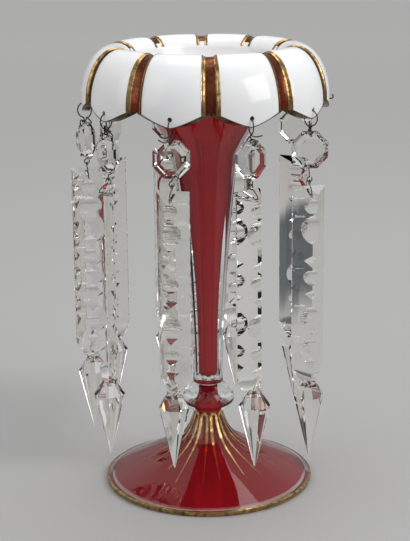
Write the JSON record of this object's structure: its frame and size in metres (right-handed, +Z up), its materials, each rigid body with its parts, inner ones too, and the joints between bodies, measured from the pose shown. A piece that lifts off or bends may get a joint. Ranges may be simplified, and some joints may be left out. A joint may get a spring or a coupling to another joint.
{
  "type": "lustre vase",
  "caption": "Ruby-lined glass vase on a tall stem, with a turned-over white petalled crown hung with swinging cut-glass drops.",
  "frame": {"origin": "on the vase's axis, in the plane of the ring under the foot", "axes": "+Z up along the vase's axis; -Y is the front of the picture and +X is its right"},
  "size_m": [0.1737, 0.1772, 0.3],
  "materials": {
    "clear_glass": "polished",
    "ruby_glass": "polished",
    "white_glass": "polished",
    "crystal": "cut and polished",
    "iron_wire": "oxidised"
  },
  "bodies": {
    "vase": {"foot": "clear_glass", "foot_lining": "ruby_glass", "knop": "clear_glass", "collar": "clear_glass", "stem": "clear_glass", "stem_lining": "ruby_glass", "white_overlay": "white_glass", "rim_wire_6": "iron_wire"},
    "wire_1": {"rim_wire_1": "iron_wire"},
    "bead_1": {"octagon_1": "crystal", "eye_pin_1": "iron_wire"},
    "hook_1": {"hook_pin_1": "iron_wire"},
    "drop_1": {"prism_1": "crystal"},
    "wire_2": {"rim_wire_2": "iron_wire"},
    "bead_2": {"octagon_2": "crystal", "eye_pin_2": "iron_wire"},
    "hook_2": {"hook_pin_2": "iron_wire"},
    "drop_2": {"prism_2": "crystal"},
    "wire_3": {"rim_wire_3": "iron_wire"},
    "bead_3": {"octagon_3": "crystal", "eye_pin_3": "iron_wire"},
    "hook_3": {"hook_pin_3": "iron_wire"},
    "drop_3": {"prism_3": "crystal"},
    "wire_4": {"rim_wire_4": "iron_wire"},
    "bead_4": {"octagon_4": "crystal", "eye_pin_4": "iron_wire"},
    "hook_4": {"hook_pin_4": "iron_wire"},
    "drop_4": {"prism_4": "crystal"},
    "wire_5": {"rim_wire_5": "iron_wire"},
    "bead_5": {"octagon_5": "crystal", "eye_pin_5": "iron_wire"},
    "hook_5": {"hook_pin_5": "iron_wire"},
    "drop_5": {"prism_5": "crystal"},
    "wire_7": {"rim_wire_7": "iron_wire"},
    "bead_7": {"octagon_7": "crystal", "eye_pin_7": "iron_wire"},
    "hook_7": {"hook_pin_7": "iron_wire"},
    "drop_7": {"prism_7": "crystal"},
    "wire_8": {"rim_wire_8": "iron_wire"},
    "bead_8": {"octagon_8": "crystal", "eye_pin_8": "iron_wire"},
    "hook_8": {"hook_pin_8": "iron_wire"},
    "drop_8": {"prism_8": "crystal"},
    "wire_9": {"rim_wire_9": "iron_wire"},
    "bead_9": {"octagon_9": "crystal", "eye_pin_9": "iron_wire"},
    "hook_9": {"hook_pin_9": "iron_wire"},
    "drop_9": {"prism_9": "crystal"},
    "wire_10": {"rim_wire_10": "iron_wire"},
    "bead_10": {"octagon_10": "crystal", "eye_pin_10": "iron_wire"},
    "hook_10": {"hook_pin_10": "iron_wire"},
    "drop_10": {"prism_10": "crystal"}
  },
  "joints": [
    {"name": "rim_wire_1_swing", "type": "hinge", "parent": "vase", "child": "wire_1", "pos_m": [-0.07835, -0.00356, 0.2579], "axis": [-0.0454, 0.999, 0], "range_deg": [-5, 70]},
    {"name": "octagon_1_rock", "type": "hinge", "parent": "wire_1", "child": "bead_1", "pos_m": [-0.07835, -0.00356, 0.2483], "axis": [-0.8829, -0.4695, 0], "range_deg": [-4, 4]},
    {"name": "hook_pin_1_swing", "type": "hinge", "parent": "bead_1", "child": "hook_1", "pos_m": [-0.07835, -0.00356, 0.2225], "axis": [0.9781, 0.2079, 0], "range_deg": [-5, 5]},
    {"name": "prism_1_rock", "type": "hinge", "parent": "hook_1", "child": "drop_1", "pos_m": [-0.07835, -0.00356, 0.2148], "axis": [-0.2079, 0.9781, 0], "range_deg": [-3, 3]},
    {"name": "rim_wire_2_swing", "type": "hinge", "parent": "vase", "child": "wire_2", "pos_m": [-0.06129, -0.04893, 0.2579], "axis": [-0.6239, 0.7815, 0], "range_deg": [-5, 70]},
    {"name": "octagon_2_rock", "type": "hinge", "parent": "wire_2", "child": "bead_2", "pos_m": [-0.06129, -0.04893, 0.247], "axis": [-0.8192, -0.5736, 0], "range_deg": [-4, 4]},
    {"name": "hook_pin_2_swing", "type": "hinge", "parent": "bead_2", "child": "hook_2", "pos_m": [-0.06129, -0.04893, 0.2202], "axis": [-0.0349, 0.9994, 0], "range_deg": [-5, 5]},
    {"name": "prism_2_rock", "type": "hinge", "parent": "hook_2", "child": "drop_2", "pos_m": [-0.06129, -0.04893, 0.2125], "axis": [-0.9994, -0.0349, 0], "range_deg": [-3, 3]},
    {"name": "rim_wire_3_swing", "type": "hinge", "parent": "vase", "child": "wire_3", "pos_m": [-0.02083, -0.07561, 0.2579], "axis": [-0.9641, 0.2656, 0], "range_deg": [-5, 70]},
    {"name": "octagon_3_rock", "type": "hinge", "parent": "wire_3", "child": "bead_3", "pos_m": [-0.02083, -0.07561, 0.2483], "axis": [-0.1736, -0.9848, 0], "range_deg": [-4, 4]},
    {"name": "hook_pin_3_swing", "type": "hinge", "parent": "bead_3", "child": "hook_3", "pos_m": [-0.02083, -0.07561, 0.2215], "axis": [-0.9659, 0.2588, 0], "range_deg": [-5, 5]},
    {"name": "prism_3_rock", "type": "hinge", "parent": "hook_3", "child": "drop_3", "pos_m": [-0.02083, -0.07561, 0.2138], "axis": [-0.2588, -0.9659, 0], "range_deg": [-3, 3]},
    {"name": "rim_wire_4_swing", "type": "hinge", "parent": "vase", "child": "wire_4", "pos_m": [0.02759, -0.07341, 0.2579], "axis": [-0.9361, -0.3518, 0], "range_deg": [-5, 70]},
    {"name": "octagon_4_rock", "type": "hinge", "parent": "wire_4", "child": "bead_4", "pos_m": [0.02759, -0.07341, 0.247], "axis": [0.6428, -0.766, 0], "range_deg": [-4, 4]},
    {"name": "hook_pin_4_swing", "type": "hinge", "parent": "bead_4", "child": "hook_4", "pos_m": [0.02759, -0.07341, 0.2212], "axis": [-0.7071, -0.7071, 0], "range_deg": [-5, 5]},
    {"name": "prism_4_rock", "type": "hinge", "parent": "hook_4", "child": "drop_4", "pos_m": [0.02759, -0.07341, 0.2135], "axis": [0.7071, -0.7071, 0], "range_deg": [-3, 3]},
    {"name": "rim_wire_5_swing", "type": "hinge", "parent": "vase", "child": "wire_5", "pos_m": [0.06548, -0.04317, 0.2579], "axis": [-0.5505, -0.8348, 0], "range_deg": [-5, 70]},
    {"name": "octagon_5_rock", "type": "hinge", "parent": "wire_5", "child": "bead_5", "pos_m": [0.06548, -0.04317, 0.2476], "axis": [0.1392, -0.9903, 0], "range_deg": [-4, 4]},
    {"name": "hook_pin_5_swing", "type": "hinge", "parent": "bead_5", "child": "hook_5", "pos_m": [0.06548, -0.04317, 0.2173], "axis": [-0.9781, -0.2079, 0], "range_deg": [-5, 5]},
    {"name": "prism_5_rock", "type": "hinge", "parent": "hook_5", "child": "drop_5", "pos_m": [0.06548, -0.04317, 0.2096], "axis": [0.2079, -0.9781, 0], "range_deg": [-3, 3]},
    {"name": "rim_wire_7_swing", "type": "hinge", "parent": "vase", "child": "wire_7", "pos_m": [0.06129, 0.04893, 0.2579], "axis": [0.6239, -0.7815, 0], "range_deg": [-5, 70]},
    {"name": "octagon_7_rock", "type": "hinge", "parent": "wire_7", "child": "bead_7", "pos_m": [0.06129, 0.04893, 0.247], "axis": [0.0872, 0.9962, 0], "range_deg": [-4, 4]},
    {"name": "hook_pin_7_swing", "type": "hinge", "parent": "bead_7", "child": "hook_7", "pos_m": [0.06129, 0.04893, 0.2202], "axis": [0.866, -0.5, 0], "range_deg": [-5, 5]},
    {"name": "prism_7_rock", "type": "hinge", "parent": "hook_7", "child": "drop_7", "pos_m": [0.06129, 0.04893, 0.2125], "axis": [0.5, 0.866, 0], "range_deg": [-3, 3]},
    {"name": "rim_wire_8_swing", "type": "hinge", "parent": "vase", "child": "wire_8", "pos_m": [0.02083, 0.07561, 0.2579], "axis": [0.9641, -0.2656, 0], "range_deg": [-5, 70]},
    {"name": "octagon_8_rock", "type": "hinge", "parent": "wire_8", "child": "bead_8", "pos_m": [0.02083, 0.07561, 0.247], "axis": [0.342, 0.9397, 0], "range_deg": [-4, 4]},
    {"name": "hook_pin_8_swing", "type": "hinge", "parent": "bead_8", "child": "hook_8", "pos_m": [0.02083, 0.07561, 0.2202], "axis": [0.9962, 0.0872, 0], "range_deg": [-5, 5]},
    {"name": "prism_8_rock", "type": "hinge", "parent": "hook_8", "child": "drop_8", "pos_m": [0.02083, 0.07561, 0.2125], "axis": [-0.0872, 0.9962, 0], "range_deg": [-3, 3]},
    {"name": "rim_wire_9_swing", "type": "hinge", "parent": "vase", "child": "wire_9", "pos_m": [-0.02759, 0.07341, 0.2579], "axis": [0.9361, 0.3518, 0], "range_deg": [-5, 70]},
    {"name": "octagon_9_rock", "type": "hinge", "parent": "wire_9", "child": "bead_9", "pos_m": [-0.02759, 0.07341, 0.247], "axis": [-0.5736, 0.8192, 0], "range_deg": [-4, 4]},
    {"name": "hook_pin_9_swing", "type": "hinge", "parent": "bead_9", "child": "hook_9", "pos_m": [-0.02759, 0.07341, 0.2202], "axis": [0.9848, 0.1736, 0], "range_deg": [-5, 5]},
    {"name": "prism_9_rock", "type": "hinge", "parent": "hook_9", "child": "drop_9", "pos_m": [-0.02759, 0.07341, 0.2125], "axis": [-0.1736, 0.9848, 0], "range_deg": [-3, 3]},
    {"name": "rim_wire_10_swing", "type": "hinge", "parent": "vase", "child": "wire_10", "pos_m": [-0.06548, 0.04317, 0.2579], "axis": [0.5505, 0.8348, 0], "range_deg": [-5, 70]},
    {"name": "octagon_10_rock", "type": "hinge", "parent": "wire_10", "child": "bead_10", "pos_m": [-0.06548, 0.04317, 0.247], "axis": [-0.866, 0.5, 0], "range_deg": [-4, 4]},
    {"name": "hook_pin_10_swing", "type": "hinge", "parent": "bead_10", "child": "hook_10", "pos_m": [-0.06548, 0.04317, 0.2202], "axis": [0.7071, 0.7071, 0], "range_deg": [-5, 5]},
    {"name": "prism_10_rock", "type": "hinge", "parent": "hook_10", "child": "drop_10", "pos_m": [-0.06548, 0.04317, 0.2125], "axis": [-0.7071, 0.7071, 0], "range_deg": [-3, 3]}
  ]
}
